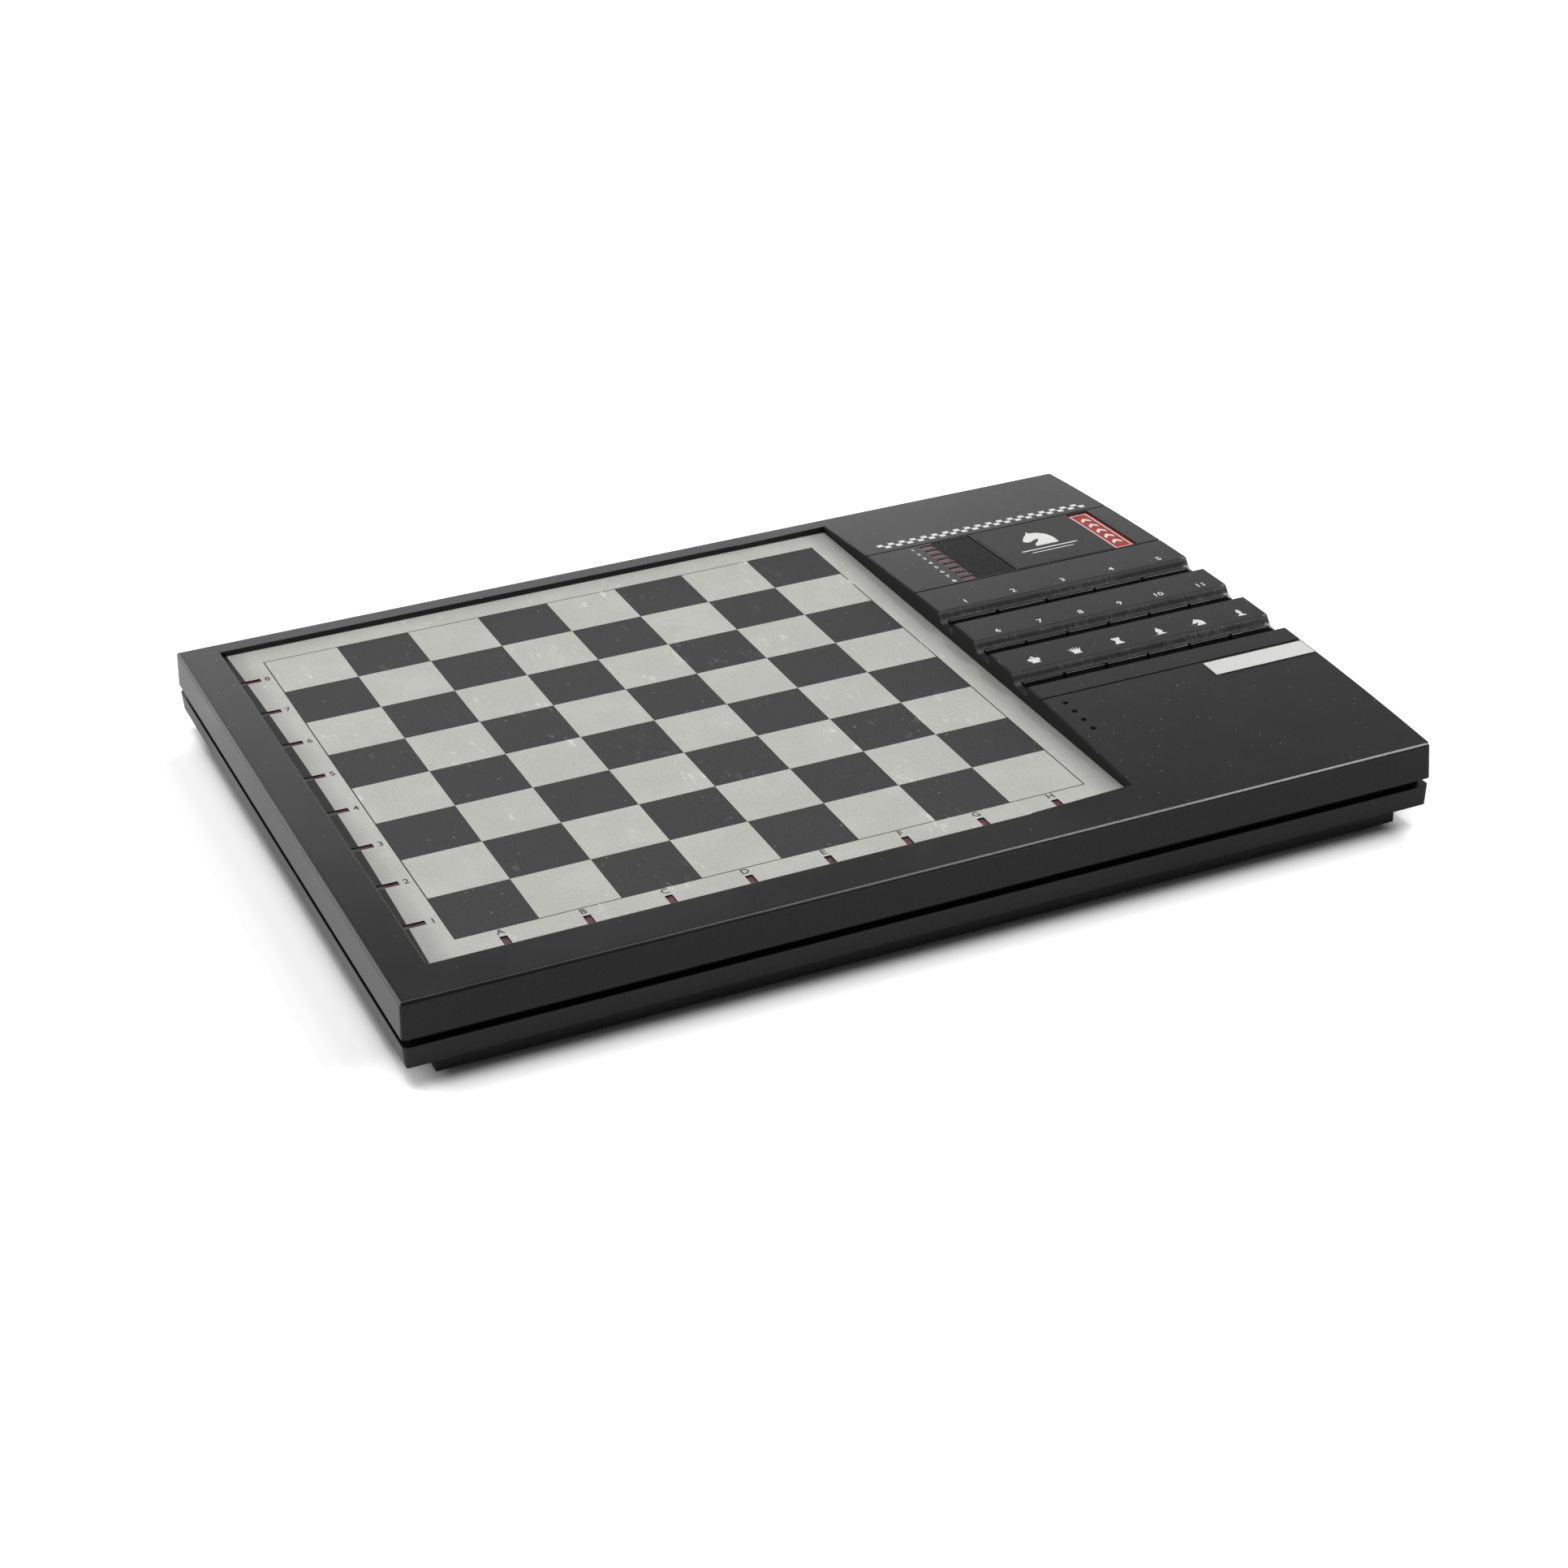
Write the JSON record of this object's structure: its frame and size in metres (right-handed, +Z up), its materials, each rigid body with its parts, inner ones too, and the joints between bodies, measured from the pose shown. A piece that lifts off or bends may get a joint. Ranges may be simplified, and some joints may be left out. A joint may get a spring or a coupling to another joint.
{
  "type": "electronic chess computer",
  "caption": "Flat desk chess computer: a sunken pressure-sensitive board with lamp windows on the left, a humped console with scooped key rows on the right.",
  "frame": {"origin": "centre of the footprint, on the surface that the feet rest on", "axes": "+X towards the console side, +Y towards the back (the eighth rank), +Z up"},
  "size_m": [0.3716, 0.278, 0.037],
  "materials": {
    "case_black": "satin, finely textured",
    "printed_panel": "matte print on film",
    "membrane": "clear film with printed tracks",
    "hardboard": "pressed board",
    "smoked_window": "smoked, slightly glossy",
    "circuit_board": "lacquered",
    "red_lamp": "glossy",
    "insert_black": "ribbed, matte",
    "cover_black": "satin",
    "accent_red": "printed label",
    "label_white": "paper label under film",
    "key_black": "satin, polished by use",
    "mat_rubber": "silicone",
    "sounder_brass": "brushed",
    "chip_black": "matte",
    "component_grey": "satin",
    "socket_black": "matte",
    "cell_jacket": "printed steel jacket",
    "contact_steel": "nickel plated",
    "lead_plastic": "flexible jacket",
    "foot_rubber": "matte",
    "screw_steel": "zinc plated"
  },
  "bodies": {
    "root": {"upper_case": "case_black", "lower_case": "case_black", "board_overlay": "printed_panel", "membrane_top_film": "membrane", "membrane_spacer": "membrane", "membrane_bottom_film": "membrane", "board_support": "hardboard", "rank_window": "smoked_window", "file_window": "smoked_window", "rank_led_board": "circuit_board", "file_led_board": "circuit_board", "rank_leds": "red_lamp", "file_leds": "red_lamp", "status_window": "smoked_window", "status_leds": "red_lamp", "ribbed_insert": "insert_black", "cover_plate": "cover_black", "accent_label": "accent_red", "name_label": "label_white", "keypad_board": "circuit_board", "rubber_domes": "mat_rubber", "sounder_disc": "sounder_brass", "main_board": "circuit_board", "processor": "chip_black", "memory_chips": "chip_black", "board_parts": "component_grey", "power_socket": "socket_black", "battery_cells": "cell_jacket", "contact_leaves": "contact_steel", "contact_plates": "contact_steel", "battery_leads": "lead_plastic", "keypad_cable": "lead_plastic", "membrane_tail": "membrane", "led_cable": "lead_plastic", "rubber_feet": "foot_rubber", "case_screws": "screw_steel", "board_screws": "screw_steel"},
    "battery_door": {"battery_door": "case_black"},
    "key_1_1": {"key_1_1": "key_black"},
    "key_1_2": {"key_1_2": "key_black"},
    "key_1_3": {"key_1_3": "key_black"},
    "key_1_4": {"key_1_4": "key_black"},
    "key_1_5": {"key_1_5": "key_black"},
    "key_2_1": {"key_2_1": "key_black"},
    "key_2_2": {"key_2_2": "key_black"},
    "key_2_3": {"key_2_3": "key_black"},
    "key_2_4": {"key_2_4": "key_black"},
    "key_2_5": {"key_2_5": "key_black"},
    "key_2_6": {"key_2_6": "key_black"},
    "key_3_1": {"key_3_1": "key_black"},
    "key_3_2": {"key_3_2": "key_black"},
    "key_3_3": {"key_3_3": "key_black"},
    "key_3_4": {"key_3_4": "key_black"},
    "key_3_5": {"key_3_5": "key_black"},
    "key_3_6": {"key_3_6": "key_black"}
  },
  "joints": [
    {"name": "battery_door_slide", "type": "slide", "parent": "root", "child": "battery_door", "axis": [1, 0, 0], "range_m": [0, 0.097]},
    {"name": "key_1_1_press", "type": "slide", "parent": "root", "child": "key_1_1", "axis": [0, 0, -1], "range_m": [0, 0.001], "stiffness_N_per_m": 300, "springref_m": -0.001, "deforming": ["rubber_domes"]},
    {"name": "key_1_2_press", "type": "slide", "parent": "root", "child": "key_1_2", "axis": [0, 0, -1], "range_m": [0, 0.001], "stiffness_N_per_m": 300, "springref_m": -0.001, "deforming": ["rubber_domes"]},
    {"name": "key_1_3_press", "type": "slide", "parent": "root", "child": "key_1_3", "axis": [0, 0, -1], "range_m": [0, 0.001], "stiffness_N_per_m": 300, "springref_m": -0.001, "deforming": ["rubber_domes"]},
    {"name": "key_1_4_press", "type": "slide", "parent": "root", "child": "key_1_4", "axis": [0, 0, -1], "range_m": [0, 0.001], "stiffness_N_per_m": 300, "springref_m": -0.001, "deforming": ["rubber_domes"]},
    {"name": "key_1_5_press", "type": "slide", "parent": "root", "child": "key_1_5", "axis": [0, 0, -1], "range_m": [0, 0.001], "stiffness_N_per_m": 300, "springref_m": -0.001, "deforming": ["rubber_domes"]},
    {"name": "key_2_1_press", "type": "slide", "parent": "root", "child": "key_2_1", "axis": [0, 0, -1], "range_m": [0, 0.001], "stiffness_N_per_m": 300, "springref_m": -0.001, "deforming": ["rubber_domes"]},
    {"name": "key_2_2_press", "type": "slide", "parent": "root", "child": "key_2_2", "axis": [0, 0, -1], "range_m": [0, 0.001], "stiffness_N_per_m": 300, "springref_m": -0.001, "deforming": ["rubber_domes"]},
    {"name": "key_2_3_press", "type": "slide", "parent": "root", "child": "key_2_3", "axis": [0, 0, -1], "range_m": [0, 0.001], "stiffness_N_per_m": 300, "springref_m": -0.001, "deforming": ["rubber_domes"]},
    {"name": "key_2_4_press", "type": "slide", "parent": "root", "child": "key_2_4", "axis": [0, 0, -1], "range_m": [0, 0.001], "stiffness_N_per_m": 300, "springref_m": -0.001, "deforming": ["rubber_domes"]},
    {"name": "key_2_5_press", "type": "slide", "parent": "root", "child": "key_2_5", "axis": [0, 0, -1], "range_m": [0, 0.001], "stiffness_N_per_m": 300, "springref_m": -0.001, "deforming": ["rubber_domes"]},
    {"name": "key_2_6_press", "type": "slide", "parent": "root", "child": "key_2_6", "axis": [0, 0, -1], "range_m": [0, 0.001], "stiffness_N_per_m": 300, "springref_m": -0.001, "deforming": ["rubber_domes"]},
    {"name": "key_3_1_press", "type": "slide", "parent": "root", "child": "key_3_1", "axis": [0, 0, -1], "range_m": [0, 0.001], "stiffness_N_per_m": 300, "springref_m": -0.001, "deforming": ["rubber_domes"]},
    {"name": "key_3_2_press", "type": "slide", "parent": "root", "child": "key_3_2", "axis": [0, 0, -1], "range_m": [0, 0.001], "stiffness_N_per_m": 300, "springref_m": -0.001, "deforming": ["rubber_domes"]},
    {"name": "key_3_3_press", "type": "slide", "parent": "root", "child": "key_3_3", "axis": [0, 0, -1], "range_m": [0, 0.001], "stiffness_N_per_m": 300, "springref_m": -0.001, "deforming": ["rubber_domes"]},
    {"name": "key_3_4_press", "type": "slide", "parent": "root", "child": "key_3_4", "axis": [0, 0, -1], "range_m": [0, 0.001], "stiffness_N_per_m": 300, "springref_m": -0.001, "deforming": ["rubber_domes"]},
    {"name": "key_3_5_press", "type": "slide", "parent": "root", "child": "key_3_5", "axis": [0, 0, -1], "range_m": [0, 0.001], "stiffness_N_per_m": 300, "springref_m": -0.001, "deforming": ["rubber_domes"]},
    {"name": "key_3_6_press", "type": "slide", "parent": "root", "child": "key_3_6", "axis": [0, 0, -1], "range_m": [0, 0.001], "stiffness_N_per_m": 300, "springref_m": -0.001, "deforming": ["rubber_domes"]}
  ]
}
